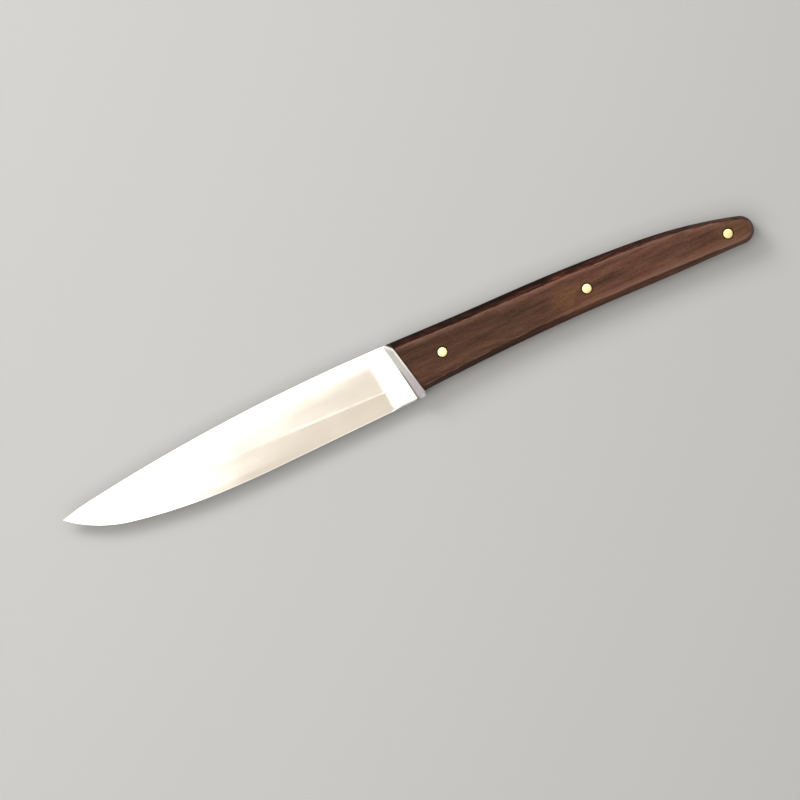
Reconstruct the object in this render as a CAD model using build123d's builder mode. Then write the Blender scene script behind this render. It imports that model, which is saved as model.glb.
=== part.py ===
from build123d import *
import os
from math import cos, radians, sin, tan

# Paring knife with a one-piece forged blade, shoulder and full tang, two wooden handle
# scales bedded in glue, and three flush brass pins.
# The knife lies on its side. X runs from the tip to the butt, Y runs towards the spine,
# and Z is up, square to the side of the blade. Millimetres throughout.
# The origin is the middle of the underside of the box that holds the knife.

os.makedirs("parts", exist_ok=True)

# Driving sizes of the whole knife
blade_length = 110.8
handle_length = 109.2
overall_height = 21.66
handle_height = 17.18
handle_thickness = 9.6
shoulder_lean = 14.3

# Steel
stock_thickness = 2.6
edge_bevel_height = 0.45
edge_bevel_half = 0.12
ridge_above_belly = 8.04
ridge_bulge = 0.14
ridge_fade_length = 50.0
plunge_length = 9.0
rim_width = 0.45
rim_edge_radius = 0.1
facet_run = 2.45
heel_radius = 1.6
heel_proud = 0.06
heel_facet_width = 1.2
distal_taper_share = 0.32
plunge_swell_share = 0.32

# Wood
facet_depth = 2.4
spine_facet_width = 2.1
edge_facet_width = 1.75
butt_facet_width = 0.9
butt_radius = 4.15
butt_lean = 15.0
front_slope = 4.6
arris_radius = 0.5
side_edge_radius = 1.0
hole_mouth_break = 0.12

# Glue and pins
bedding_thickness = 0.1
pin_diameter = 3.0
pin_clearance = 0.02
pin_edge_break = 0.1

# One overrun serves every cut, and every tool that has to reach past what it trims.
overrun = 1.5

# Where along the knife the main lines lie
overall_length = blade_length + handle_length
tip_x = -overall_length / 2
butt_x = overall_length / 2
crest_y = overall_height / 2
belly_y = -overall_height / 2
middle_z = handle_thickness / 2
joint_x = tip_x + blade_length
lean_slope = tan(radians(shoulder_lean))

# Handle outline, front to back: share of the handle's length from the shoulder, depth below
# the crest as a share of the handle's height, and width of the side facet as a share of its
# own driving width.
joint_depth_share = 0.025
butt_depth_share = 0.555
spine_side_shares = ((0.176, 0.022, 1.05), (0.423, 0.0, 1.12), (0.634, 0.027, 0.9), (0.799, 0.105, 0.62))
edge_side_shares = ((0.771, 0.820, 0.95), (0.542, 0.829, 0.95), (0.313, 0.874, 1.0))
front_facet_share = 0.7

# Blade outline: share of the blade's length from the tip, and height above the belly as a
# share of the rise from the belly to the spine.
spine_y = crest_y - joint_depth_share * handle_height
blade_rise = spine_y - belly_y
tip_rise_share = 0.489
spine_shares = (0.081, 0.597)
heel_rise_share = 0.140
edge_shares = ((0.581, 0.0217), (0.422, 0.0), (0.1625, 0.1126), (0.0442, 0.3288))

# Cross-cuts of the blade, as shares of the way from beyond the tip to the shoulder
cross_cuts = 30
cut_crowding = 1.5

# Pins, front to back: share of the handle's length from the shoulder, and depth below the
# crest as a share of the handle's height.
pin_shares = {"front_pin": (0.099, 0.511), "middle_pin": (0.522, 0.467), "rear_pin": (0.928, 0.535)}

tang_bottom = middle_z - stock_thickness / 2
tang_top = middle_z + stock_thickness / 2
scale_thickness = (handle_thickness - stock_thickness) / 2 - bedding_thickness
pin_radius = pin_diameter / 2
hole_radius = pin_radius + pin_clearance


def shoulder_x(y):
    """Where the slanted joint between the steel shoulder and the wood lies, at height y."""
    return joint_x - lean_slope * y


def blade_point(shares):
    """A point of the blade's outline, from its shares."""
    along, rise = shares
    return (tip_x + along * blade_length, belly_y + rise * blade_rise)


def handle_point(along, depth):
    """A point of the handle's outline, from its shares."""
    return (joint_x + along * handle_length, crest_y - depth * handle_height)


spine_end = (shoulder_x(spine_y), spine_y)
heel_y = belly_y + heel_rise_share * blade_rise
heel_end = (shoulder_x(heel_y), heel_y)
tip = (tip_x, belly_y + tip_rise_share * blade_rise)
wood_front_y = crest_y - handle_height
butt_centre = (butt_x - butt_radius, crest_y - butt_depth_share * handle_height)


def handle_outline(height, inset):
    """The handle's side view at one height, drawn in by its facets where inset is 1."""
    front_top_y = spine_y - inset * spine_facet_width
    spine_points = [(shoulder_x(front_top_y), front_top_y)]
    for along, depth, facet in spine_side_shares:
        x, y = handle_point(along, depth)
        spine_points.append((x, y - inset * facet * spine_facet_width))
    edge_points = []
    for along, depth, facet in edge_side_shares:
        x, y = handle_point(along, depth)
        edge_points.append((x, y + inset * facet * edge_facet_width))
    front_low_y = wood_front_y + inset * front_facet_share * edge_facet_width
    edge_points.append((shoulder_x(front_low_y), front_low_y))
    lean, slope = radians(butt_lean), radians(front_slope)
    with BuildSketch(Plane.XY.offset(height)) as outline:
        with BuildLine():
            butt = CenterArc(butt_centre, butt_radius - inset * butt_facet_width,
                             90 - butt_lean, butt_lean - 180)
            Spline(*spine_points, butt @ 0, tangents=((1, 0), (cos(lean), -sin(lean))))
            Spline(butt @ 1, *edge_points, tangents=((-1, 0), (-cos(slope), -sin(slope))))
            Line(edge_points[-1], spine_points[0])
        make_face()
    return outline.sketch


def pin_discs(radius):
    """Three discs at the pins' places, on the knife's underside."""
    with BuildSketch() as discs:
        with Locations(*[handle_point(along, depth) for along, depth in pin_shares.values()]):
            Circle(radius)
    return discs.sketch


# The cutting edge, from behind the shoulder to beyond the tip, where the cross-cuts start
with BuildLine() as cutting_edge:
    heel_run = Line(heel_end, blade_point(edge_shares[0]))
    Line(heel_run @ 0, heel_run @ 0 - overrun * (heel_run % 0))
    curve = heel_run
    for shares in edge_shares[1:]:
        curve = TangentArc(curve @ 1, blade_point(shares), tangent=curve % 1)
    curve = TangentArc(curve @ 1, tip, tangent=curve % 1)
    Line(curve @ 1, curve @ 1 + overrun * (curve % 1))

edge_wire = cutting_edge.wires()[0]
belly_x = blade_point(edge_shares[1])[0]
wedge_slope = (stock_thickness / 2 - edge_bevel_half) / (spine_y - heel_y - edge_bevel_height)
lean_cos = cos(radians(shoulder_lean))
lean_sin = sin(radians(shoulder_lean))


def blade_section(edge_point):
    """One cross-cut, parallel to the shoulder, through a point of the cutting edge.

    It reaches above the spine, where the outline trims it."""
    x, y = edge_point.X, edge_point.Y
    station = x + lean_slope * y
    ahead = joint_x - station
    ridge_y = belly_y + ridge_above_belly if x > belly_x else y + ridge_above_belly
    top_y = crest_y + overrun
    slope = wedge_slope * (1 - distal_taper_share * ahead / blade_length)
    swell = 1 + plunge_swell_share * max(0, 1 - ahead / plunge_length) ** 2
    bulge = ridge_bulge * min(1, max(0, 1 - (ahead - plunge_length) / ridge_fade_length))

    def half_thickness(height):
        return swell * (edge_bevel_half + slope * (height - y - edge_bevel_height))

    side = [
        (y + edge_bevel_height, edge_bevel_half),
        (ridge_y, half_thickness(ridge_y) + bulge),
        (top_y, half_thickness(top_y)),
    ]
    rising = [(height / lean_cos, half) for height, half in side]
    falling = [(height / lean_cos, -half) for height, half in reversed(side)]
    cut_plane = Plane(origin=(station, 0, middle_z), x_dir=(-lean_sin, lean_cos, 0),
                      z_dir=(lean_cos, lean_sin, 0))
    with BuildSketch(cut_plane) as section:
        with BuildLine():
            Polyline(*falling, (y / lean_cos, 0), *rising, close=True)
        make_face()
    return section.sketch


def facet_wedges(y, width, outwards):
    """The two corners that a facet takes off a shoulder whose side is at height y."""
    reach = outwards * width
    with BuildSketch(Plane.YZ.offset(joint_x - 2 * facet_run)) as wedges:
        for top, up in ((handle_thickness, 1), (0, -1)):
            with BuildLine():
                Polyline(
                    (y - 2 * reach, top + up * facet_depth),
                    (y + reach, top + up * facet_depth),
                    (y + reach, top - 2 * up * facet_depth),
                    close=True,
                )
            make_face()
    return wedges.sketch


# Blade, shoulder and tang, forged and ground from one bar
shoulder_plane = Plane(origin=(joint_x, 0, middle_z), x_dir=(-lean_cos, -lean_sin, 0),
                       z_dir=(-lean_sin, lean_cos, 0))
guard_low = Vector(shoulder_x(heel_y - heel_proud), heel_y - heel_proud)
cut_shares = [(cut / cross_cuts) ** cut_crowding for cut in range(cross_cuts + 1)]
with BuildPart() as blade:
    loft([blade_section(edge_wire @ (1 - share)) for share in cut_shares])
    with BuildSketch(shoulder_plane):
        with BuildLine():
            Polyline(
                (-overrun, -middle_z),
                (-overrun, middle_z),
                (rim_width, middle_z),
                (rim_width + facet_run, 0),
                (rim_width, -middle_z),
                close=True,
            )
        make_face()
    extrude(amount=overall_height, both=True)
    with BuildSketch(Plane.XY.offset(-overrun)) as blade_outline:
        with BuildLine():
            spine_run = TangentArc(spine_end, blade_point(spine_shares), tangent=(-1, 0))
            spine_nose = TangentArc(spine_run @ 1, tip, tangent=spine_run % 1)
            beyond = spine_nose @ 1 + 2 * overrun * (spine_nose % 1)
            guard_front = guard_low + 2 * (rim_width + facet_run) * (heel_run % 0)
            below = belly_y - overrun
            Polyline(spine_nose @ 1, beyond, (beyond.X, below), (guard_front.X, below),
                     guard_front, guard_low, spine_end)
        make_face()
        fillet(blade_outline.vertices().sort_by(Axis.X)[-1], heel_radius)
    extrude(amount=handle_thickness + 2 * overrun, mode=Mode.INTERSECT)
    extrude(facet_wedges(spine_y, spine_facet_width, 1), amount=4 * facet_run, mode=Mode.SUBTRACT)
    extrude(facet_wedges(guard_low.Y, heel_facet_width, -1), amount=4 * facet_run, mode=Mode.SUBTRACT)
    rims = blade.faces().filter_by(Axis.Z).group_by(Axis.Z)
    fillet(rims[0].edges() + rims[-1].edges(), rim_edge_radius)
    extrude(handle_outline(tang_bottom, 0), amount=stock_thickness)
    extrude(pin_discs(hole_radius), amount=handle_thickness, mode=Mode.SUBTRACT)
blade.part.label = "blade"
export_step(blade.part, "parts/blade.step")

# Upper scale: a slab of wood with an eased facet all round its outer face, behind the shoulder
with BuildPart() as upper_scale:
    extrude(handle_outline(tang_top + bedding_thickness, 0), amount=scale_thickness - facet_depth)
    facet_start = handle_thickness - facet_depth
    loft([handle_outline(facet_start, 0), handle_outline(handle_thickness, 1)], ruled=True)
    for height, radius in ((handle_thickness, arris_radius), (facet_start, side_edge_radius)):
        ring = upper_scale.edges().filter_by_position(Axis.Z, height, height)
        fillet(ring.filter_by(GeomType.LINE, reverse=True), radius)
    extrude(pin_discs(hole_radius), amount=handle_thickness, mode=Mode.SUBTRACT)
    hole_rings = upper_scale.edges(Select.LAST).filter_by(GeomType.CIRCLE)
    chamfer(hole_rings.group_by(Axis.Z)[-1], hole_mouth_break)
upper_scale.part.label = "upper_scale"
export_step(upper_scale.part, "parts/upper_scale.step")

# Lower scale: the same slab on the other side of the tang
middle_plane = Plane.XY.offset(middle_z)
with BuildPart() as lower_scale:
    mirror(upper_scale.part, about=middle_plane)
lower_scale.part.label = "lower_scale"
export_step(lower_scale.part, "parts/lower_scale.step")

# Glue film that beds each scale on the tang
with BuildPart() as upper_bedding:
    extrude(handle_outline(tang_top, 0), amount=bedding_thickness)
    extrude(pin_discs(hole_radius), amount=handle_thickness, mode=Mode.SUBTRACT)
upper_bedding.part.label = "upper_bedding"
export_step(upper_bedding.part, "parts/upper_bedding.step")

with BuildPart() as lower_bedding:
    mirror(upper_bedding.part, about=middle_plane)
lower_bedding.part.label = "lower_bedding"
export_step(lower_bedding.part, "parts/lower_bedding.step")

# Brass pins, driven through the scales and the tang and filed flush with the wood
for name, (along, depth) in pin_shares.items():
    with BuildPart() as pin:
        with BuildSketch():
            with Locations(handle_point(along, depth)):
                Circle(pin_radius)
        extrude(amount=handle_thickness)
        chamfer(pin.edges().filter_by(GeomType.CIRCLE), pin_edge_break)
    pin.part.label = name
    export_step(pin.part, f"parts/{name}.step")
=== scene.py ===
import math

import bmesh
import bpy
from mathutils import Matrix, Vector


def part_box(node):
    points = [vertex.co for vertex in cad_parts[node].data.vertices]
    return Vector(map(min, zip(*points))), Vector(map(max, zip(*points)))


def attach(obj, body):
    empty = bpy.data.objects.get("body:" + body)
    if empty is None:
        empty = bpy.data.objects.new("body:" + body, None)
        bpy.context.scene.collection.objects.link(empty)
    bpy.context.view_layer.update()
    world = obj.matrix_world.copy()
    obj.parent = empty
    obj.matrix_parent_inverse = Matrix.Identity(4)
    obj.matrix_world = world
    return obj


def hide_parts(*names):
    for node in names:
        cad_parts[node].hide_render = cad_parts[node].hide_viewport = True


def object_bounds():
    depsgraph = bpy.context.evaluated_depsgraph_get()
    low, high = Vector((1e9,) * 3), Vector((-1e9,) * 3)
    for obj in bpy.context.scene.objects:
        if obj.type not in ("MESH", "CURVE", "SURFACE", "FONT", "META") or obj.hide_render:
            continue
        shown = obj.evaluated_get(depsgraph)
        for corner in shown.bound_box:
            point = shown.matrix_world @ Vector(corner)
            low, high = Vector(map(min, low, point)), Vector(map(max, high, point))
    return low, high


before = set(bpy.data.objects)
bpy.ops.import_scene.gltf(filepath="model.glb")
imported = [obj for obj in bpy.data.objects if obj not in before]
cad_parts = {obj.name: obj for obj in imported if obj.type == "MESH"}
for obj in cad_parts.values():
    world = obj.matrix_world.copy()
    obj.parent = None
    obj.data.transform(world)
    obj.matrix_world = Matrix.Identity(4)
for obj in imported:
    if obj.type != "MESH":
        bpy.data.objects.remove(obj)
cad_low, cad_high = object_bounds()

# The paring knife lies on its side. X runs from the tip to the butt, Y towards the spine and
# Z up, square to the side of the blade. Metres throughout, unless a name ends in _mm.
MM = 0.001

# The photograph's frame, in its own pixels, and where the knife's zero point lies in it
PHOTO_PIXELS = 800
PHOTO_CENTRE = PHOTO_PIXELS / 2
PIXEL_SIZE = 0.29333 * MM
ROLL = math.radians(22.76)
ZERO_ACROSS_PIXEL = 418.0
ZERO_UP_PIXEL = 379.15

# Camera
LENS = 400.0
SENSOR = 36.0
CLIP_END = 10.0

# The whole knife, with its thickness from the frame
THICKNESS = cad_high.z
MIDDLE_Z = THICKNESS / 2
MIDDLE_Z_MM = MIDDLE_Z / MM
SHOULDER_LEAN = math.radians(14.3)

# Panels and room
ROOM_LIGHT = 0.32
OVERHEAD_HEIGHT = 0.62
OVERHEAD_EDGE = (-0.046, -0.050)
OVERHEAD_SIZE = (1.10, 0.75)
OVERHEAD_TURN = math.radians(20)
PANEL_BRIGHTNESS = 1.09
SIDE_PLACE = (-0.35, -0.20, 0.64)
SIDE_SIZE = (0.50, 0.50)
STRIP_PLACE = (0.0, -0.40, 0.62)
STRIP_SIZE = (0.60, 0.16)
KEY_PLACE = (-0.35, 0.80, 0.85)
KEY_SIZE = (0.5, 0.5)
KEY_BRIGHTNESS = 7.0

# Floor
FLOOR_SIZE = 6.0
FLOOR_DROP = 0.02 * MM
FLOOR_ROUGHNESS = 0.85
FLOOR_SPECULAR = 0.2

# Finish of the meshes
MERGE_GAP = 0.002 * MM
CUT_GAP = 0.0005 * MM
NEAR_MM = 0.05
LEAST_MM = 0.001
ORDER_STEP = 1000.0
SMOOTH_ANGLE = math.radians(32)

# Outlines of the blade, in mm in the knife's frame: the same points as in the part's source
BLADE_LENGTH_MM = 110.8
JOINT_X_MM = 0.8
CREST_Y_MM = 10.83
BELLY_Y_MM = -10.83
SPINE_Y_MM = 10.4005
TIP_MM = (-110.0, -0.4483)
HEEL_END_MM = (2.8029, -7.8577)
SPINE_POINT_MM = (-101.0252, 1.8446)
EDGE_POINTS_MM = (
    (-45.6252, -10.3693),
    (-63.2424, -10.83),
    (-91.995, -8.4394),
    (-105.1026, -3.8494),
)
BELLY_AHEAD_MM = 66.8
ARC_STEPS = 60

# Cross-cuts of the blade. "Ahead" is the distance from the shoulder towards the tip, and a share
# is of a length in the cross-cut itself.
EDGE_BEVEL_MM = 0.45
EDGE_BEVEL_HALF_MM = 0.12
EDGE_BEVEL_SHARE = 0.3
WEDGE_SLOPE = 0.06626
THINNING_TO_TIP = 0.32
RIDGE_ABOVE_EDGE_MM = 8.04
RIDGE_SHARE = 0.75
RIDGE_BULGE_MM = 0.14
BULGE_END_Y_MM = 2 * CREST_Y_MM - SPINE_Y_MM
RIDGE_FADE_MM = 62.0
RIDGE_EASE_MM = 0.3
RIDGE_EASE_SHARE = 0.2
PLUNGE_MM = 9.0
PLUNGE_SWELL = 0.32
FLARE_START_MM = 10.8
FLARE_TURN = 0.18
FLARE_SLOPE = 0.112
FLARE_EASE_MM = 4.2
FLARE_AT_EDGE = 0.75
CROWN_HEIGHT_MM = 5.5
CROWN_DROP_MM = 0.14
SPINE_EASE_MM = 0.18
SPINE_EASE_SHARE = 0.1
SPINE_CORNER_SHARE = 0.6
SPINE_CORNER_ANGLES = (30, 60, 90)
LEVELS_BELOW_RIDGE = (0, 0.25, 0.5, 0.75, 1)
LEVELS_ABOVE_RIDGE = (0.2, 0.4, 0.6, 0.75, 0.88, 1)

# Stations of the cross-cuts: close together at the shoulder, then wider, and close at the tip
OVERLAP_MM = 1.2
CLOSE_STEP_MM = 0.4
CLOSE_STATIONS = 28
FAR_STATIONS = 70
TIP_CROWDING = 1.3

# Shoulder, in mm, and the leans by which its faces are told apart
RIM_WIDTH_MM = 0.45
BAND_RUN_MM = 3.2
FACET_DEPTH_MM = 2.4
SPINE_FACET_MM = 2.1
HEEL_FACET_MM = 1.2
HEEL_RADIUS_MM = 1.6
HEEL_PROUD_MM = 0.06
HEEL_STEPS = 10
CORNER_OFFSET_MM = 1.1
CORNER_STEPS = 6
SMALL_EASE_MM = 0.12
SMALL_EASE_STEPS = 2
BLOCK_SIZE_MM = (14, 26, 14)
BAND_LEAST_LEAN = 0.7
FACET_LEAST_RISE = 0.6
UPRIGHT_LEAN = 0.3
SAME_WAY = 0.99
SHARP_ANGLE = math.radians(20)

# Tang, in mm: where it is cut behind the joint, and how far it runs into the shoulder
TANG_CUT_MM = 0.02
TANG_OVERLAP_MM = 0.4

# The two arrises of the handle's face, in mm, front to back, and where the handle ends
SPINE_ARRIS_MM = (
    (0.8, 8.30),
    (20.0, 8.25),
    (47.0, 8.48),
    (70.0, 8.48),
    (79.0, 8.25),
    (88.0, 7.72),
    (97.4, 6.50),
    (106.7, 4.43),
)
EDGE_ARRIS_MM = (
    (2.1, -5.13),
    (18.5, -3.66),
    (35.0, -2.44),
    (60.0, -1.75),
    (85.0, -1.60),
    (105.9, -1.96),
)
HANDLE_END_MM = 110.0

# Pins. The flat middle of their domed ends counts as half a ring.
PIN_NODES = ("front_pin", "middle_pin", "rear_pin")
PIN_SIDES = 64
PIN_EDGE_BREAK = 0.18 * MM
PIN_EDGE_STEPS = 3
PIN_DOME_RISE = 0.04 * MM
PIN_DOME_RINGS = 5
PIN_CENTRE_RINGS = 0.5
PIN_END_LEAN = 0.9


def srgb(red, green, blue):
    """A colour as it looks on a screen, 0 to 255, as the linear values that a shader takes."""
    linear = []
    for value in (red, green, blue):
        share = value / 255
        linear.append(share / 12.92 if share <= 0.04045 else ((share + 0.055) / 1.055) ** 2.4)
    return (*linear, 1.0)


# Colours. Those that end in _SHADE multiply what lies under them.
BLACK = (0, 0, 0, 1)
WHITE = (1, 1, 1, 1)

POLISH_DARK = srgb(239, 237, 233)
POLISH_LIGHT = srgb(246, 244, 240)
BAND_TOP = srgb(250, 253, 248)
BAND_LOW = srgb(236, 229, 234)
# Painted shadow in the crease where the band meets the blade.
BAND_CREASE_PAINTED_SHADOW = srgb(96, 90, 92)
SCUFF_SHADE = (0.70, 0.70, 0.71, 1)
# The rim's colour, darker towards the edge side.
RIM_LOW = srgb(152, 141, 144)
RIM_TOP = srgb(212, 204, 202)
# Painted shade for the steel's spine facet: a dark reflection painted into its colour.
FACET_PAINTED_SHADE_DARK = srgb(38, 30, 26)
FACET_PAINTED_SHADE_LIGHT = srgb(74, 62, 55)
# The shoulder's worn edges, painted near white: their wear and a painted highlight.
WORN_STEEL_HIGHLIGHT = srgb(254, 252, 250)

WOOD_GOLDEN = srgb(131, 92, 62)
WOOD_REDDISH = srgb(104, 62, 52)
WOOD_SPECK = srgb(150, 118, 92)
# Worn strips along the face's arrises, painted lighter: wear and a painted highlight.
WOOD_WORN_HIGHLIGHT = srgb(136, 100, 84)
# Darker colour for the face along its edge side, at the front.
WOOD_DARKER_FRONT = srgb(58, 34, 29)
# Arrises painted pale: wear and a painted highlight.
WOOD_ARRIS_HIGHLIGHT = srgb(148, 104, 90)
JOINT_DIRT = srgb(20, 13, 11)
PIN_DIRT = srgb(36, 29, 17)
STREAK_SHADE = (0.50, 0.46, 0.43, 1)
PORE_SHADE = (0.35, 0.30, 0.28, 1)
SANDED_DARK_SHADE = (0.86, 0.85, 0.84, 1)
SANDED_LIGHT_SHADE = (1.10, 1.10, 1.10, 1)
# Painted shade for the wood's facets: the spine facet's outer rim, and the edge facet inwards and
# outwards.
OUTER_SPINE_PAINTED_SHADE = (0.30, 0.26, 0.24, 1)
INNER_EDGE_PAINTED_SHADE = (0.80, 0.72, 0.68, 1)
OUTER_EDGE_PAINTED_SHADE = (0.40, 0.36, 0.35, 1)
# Painted light that brightens the butt's end.
BUTT_PAINTED_LIGHT = (1.5, 1.42, 1.42, 1)

BRASS_DARK = srgb(247, 233, 178)
BRASS_LIGHT = srgb(253, 245, 205)
BRASS_REAR = srgb(240, 222, 158)
BRASS_CLOUD_SHADE = srgb(236, 214, 150)
BRASS_RIM = srgb(104, 86, 42)
GLUE_DARK = srgb(26, 18, 13)
GLUE_LIGHT = srgb(48, 35, 27)
FLOOR_COLOUR = srgb(200, 199, 196)

# Colour ramps: places between 0 and 1, and the colour at each
FIGURE_RAMP = (
    (0.28, srgb(60, 38, 28)),
    (0.44, srgb(92, 61, 46)),
    (0.56, srgb(111, 74, 57)),
    (0.72, srgb(132, 88, 68)),
)
GOLDEN_RAMP = ((0.56, BLACK), (0.76, WHITE))
LENGTH_RAMP = (
    (0.0, (0.63, 0.68, 0.65, 1)),
    (0.30, (0.68, 0.75, 0.73, 1)),
    (0.48, (1.10, 1.11, 1.08, 1)),
    (0.75, (0.90, 0.97, 0.97, 1)),
    (1.0, (0.74, 0.80, 0.78, 1)),
)
# Streaks of painted shade for the wood's facets, flecked like the wood.
FACET_FLECKS_AND_SHADE_RAMP = (
    (0.36, (0.10, 0.06, 0.05, 1)),
    (0.50, (0.38, 0.25, 0.20, 1)),
    (0.62, (0.92, 0.70, 0.64, 1)),
)
ROOM_RAMP = (
    (0.0, srgb(214, 213, 210)),
    (0.4, srgb(214, 211, 206)),
    (0.8, (0.80, 0.74, 0.65, 1)),
    (1.0, (0.82, 0.725, 0.60, 1)),
)

# Noises: the size of a grain along, across and up the knife, in mm, and how it is made up
GRAIN_TILT = math.radians(2.0)
FILING_TURN = math.radians(25)
STEEL_NOISES = {
    "fine_lines": dict(size_mm=(0.06, 4, 4), detail=2.0),
    "wide_lines": dict(size_mm=(0.6, 24, 24), roughness=0.6),
    "filing": dict(size_mm=(5, 0.1, 0.1), detail=2.0),
    "clouds": dict(size_mm=(16, 7, 7)),
    "waver": dict(size_mm=(3.5, 20, 20)),
    "brushing": dict(size_mm=(0.25, 0.06, 3), detail=2.0, turn=-SHOULDER_LEAN),
    "blotches": dict(size_mm=(1.6, 1.6, 1.6)),
}
WOOD_NOISES = {
    "figure": dict(size_mm=(30, 2.8, 2.8), detail=4.0, roughness=0.55, distortion=0.5,
                   turn=GRAIN_TILT),
    "patches": dict(size_mm=(13, 6, 6), roughness=0.55, distortion=0.4, turn=GRAIN_TILT,
                    centre_mm=(60, 4, 0)),
    "grain": dict(size_mm=(9, 0.30, 0.30), detail=4.0, roughness=0.6, turn=GRAIN_TILT),
    "pores": dict(size_mm=(2.2, 0.14, 0.14), detail=2.0, roughness=0.6, turn=GRAIN_TILT),
    "specks": dict(size_mm=(0.9, 0.28, 0.28), detail=2.0, turn=GRAIN_TILT, centre_mm=(5, 0, 0)),
    "wear_and_highlight": dict(size_mm=(7, 1.2, 1.2), detail=4.0, roughness=0.65, centre_mm=(3, 0, 0)),
    "mottle": dict(size_mm=(0.9, 0.5, 0.5), detail=2.0, centre_mm=(2, 0, 0)),
    "flecks": dict(size_mm=(4, 0.5, 0.7), detail=4.0, roughness=0.65, centre_mm=(9, 0, 0)),
}
BRASS_NOISES = {
    "marks": dict(size_mm=(0.9, 0.06, 0.9), detail=2.0, turn=FILING_TURN),
    "clouds": dict(size_mm=(1.2, 1.2, 1.2), detail=2.0),
}
GLUE_NOISES = {
    "specks": dict(size_mm=(1, 1, 1)),
}
NOISE_MIDDLE = (0.3, 0.7)

# Where the steel's finishes, its spine facet's painted shade and its worn edges' painted highlight
# start and are full: leans of the surface, noises, and places in mm. Where there are four numbers,
# the last two are how strong it is at either end.
BAND_LEAN = (0.55, 0.75)
TANG_START_MM = (JOINT_X_MM + 0.05, JOINT_X_MM + 0.15)
RIM_START_MM = (JOINT_X_MM - 0.62, JOINT_X_MM - 0.5)
SHOULDER_START_MM = (-5.2, -4.6)
FACET_RISE = (0.45, 0.68)
FACET_TOP = (0.97, 0.85)
BAND_COOL_MM = (4.0, -3.0)
RIM_TONE_MM = (-5.0, 5.0)
SCUFF_NOISE = (0.3, 0.6)
SCUFF_SHARE = 0.8
FACET_PAINTED_SHADE_NOISE = (0.35, 0.7)
# The band's painted crease shadow: its width and its height.
CREASE_WIDTH_MM = (0.8, 0.3)
CREASE_HEIGHT = (4.0, -1.0, 0.0, 0.55)
WEAR_AND_HIGHLIGHT_TURN = (0.98, 0.94)
WEAR_AND_HIGHLIGHT_OFF_BAND = (0.7, 0.55)
WEAR_AND_HIGHLIGHT_OFF_FACET = (0.55, 0.42)
WEAR_AND_HIGHLIGHT_HEIGHT = (-6.0, 2.0, 0.35, 1.0)

# Where the blade runs into the band, in mm: two heights, and half its thickness at each
BLADE_HALF_MM = (-8.0, 6.0, 1.2, 2.4)

# The grinding line along the blade's ridge, in mm: its two sides, where it fades and its waver
LINE_TOP_MM = (-1.85, -2.75)
LINE_LOW_MM = (-3.5, -2.75)
LINE_FRONT_MM = (-46.0, -30.0)
LINE_BACK_MM = (-7.5, -9.0)
LINE_WAVER = (0.35, 1.0)

# Metal, gloss and relief of the steel
FACET_METAL = 0.5
POLISH_ROUGHNESS = (0.13, 0.16)
BRUSHED_ROUGHNESS = (0.36, 0.5)
FILED_ROUGHNESS = (0.26, 0.40)
WORN_ROUGHNESS = 0.7
LINE_DEPTH = 0.012 * MM
FINE_LINE_DEPTH = 0.0004 * MM
WIDE_LINE_DEPTH = 0.0002 * MM
BRUSHING_DEPTH = 0.01 * MM
FILING_DEPTH = 0.004 * MM

# Where the colours of the wood's face start and are full, in the same way. A place has its
# middle and its reach.
GOLDEN_PLACES_MM = ((55.0, 13.0), (102.0, 9.0))
GOLDEN_HEIGHT_MM = (1.0, 7.0)
GOLDEN_LIFT = 0.14
GOLDEN_SHARE = 0.5
PLACE_CORE = 0.25
REDDISH_NOISE = (0.48, 0.34, 0.0, 0.4)
STREAK_NOISE = (0.30, 0.56)
STREAK_SHARE = 0.8
PORE_NOISE = (0.30, 0.42)
PORE_SHARE = 0.7
SANDED_NOISE = (0.32, 0.68)
SPECK_NOISE = (0.64, 0.76, 0.0, 0.28)

# Where the wood's facets, which are painted dark as painted shade, start and are full
FACET_WANDER = 0.5
WOOD_FACET_RISE = (0.25, 0.62)
SPINE_FACET_OUT_MM = (-0.4, -1.9)
EDGE_FACET_OUT_MM = (-0.3, -1.5)
EDGE_FACET_FADE = (95.0, 40.0, 0.25, 0.9)
EDGE_FACET_STREAKS = 0.4
BUTT_LEAN = (0.3, 0.65)

# Where the wood is worn and has painted highlights, where it is darker at the front of the edge
# side, and where it is dirty
FLAT_LEAN = (0.95, 0.995)
WORN_TOP_HIGHLIGHT_MM = (1.9, 0.1)
WORN_TOP_HIGHLIGHT_NOISE = (0.36, 0.58, 0.1, 0.62)
WORN_LOW_HIGHLIGHT_MM = (2.3, 0.1)
WORN_LOW_HIGHLIGHT_FADE = (38.0, 68.0, 0.05, 0.6)
DARKER_FRONT_MM = (2.6, 0.3)
DARKER_FRONT_FADE = (48.0, 20.0, 0.0, 0.75)
DARKER_FRONT_NOISE = (0.56, 0.44)
ARRIS_LOW = (0.72, 0.90)
ARRIS_HIGH = (0.998, 0.96)
ARRIS_NOISE = (0.42, 0.58, 0.0, 0.8)
JOINT_DIRT_MM = (JOINT_X_MM + 0.42, JOINT_X_MM + 0.18)
PIN_DIRT_WIDTH_MM = 0.45
PIN_DIRT_START_MM = 0.05
PIN_DIRT_SHARE = 0.85

# A stretch so long that height no longer counts in a distance
FLATTENED = 1000

# Gloss and relief of the wood
WOOD_ROUGHNESS = (0.5, 0.38)
WOOD_SPECULAR = 0.10
GRAIN_DEPTH = 0.02 * MM
PORE_DEPTH = 0.02 * MM

# Brass and glue
BRASS_REAR_TONE = (40.0, 105.0, 0.0, 0.6)
BRASS_CLOUD_NOISE = (0.35, 0.6)
BRASS_CLOUD_SHARE = 0.3
BRASS_RIM_LEAN = (0.997, 0.93)
BRASS_ROUGHNESS = (0.2, 0.3)
BRASS_MARK_DEPTH = 0.002 * MM
GLUE_SPECK_NOISE = (0.35, 0.65)
GLUE_ROUGHNESS = (0.55, 0.75)
GLUE_DEPTH = 0.01 * MM


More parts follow.
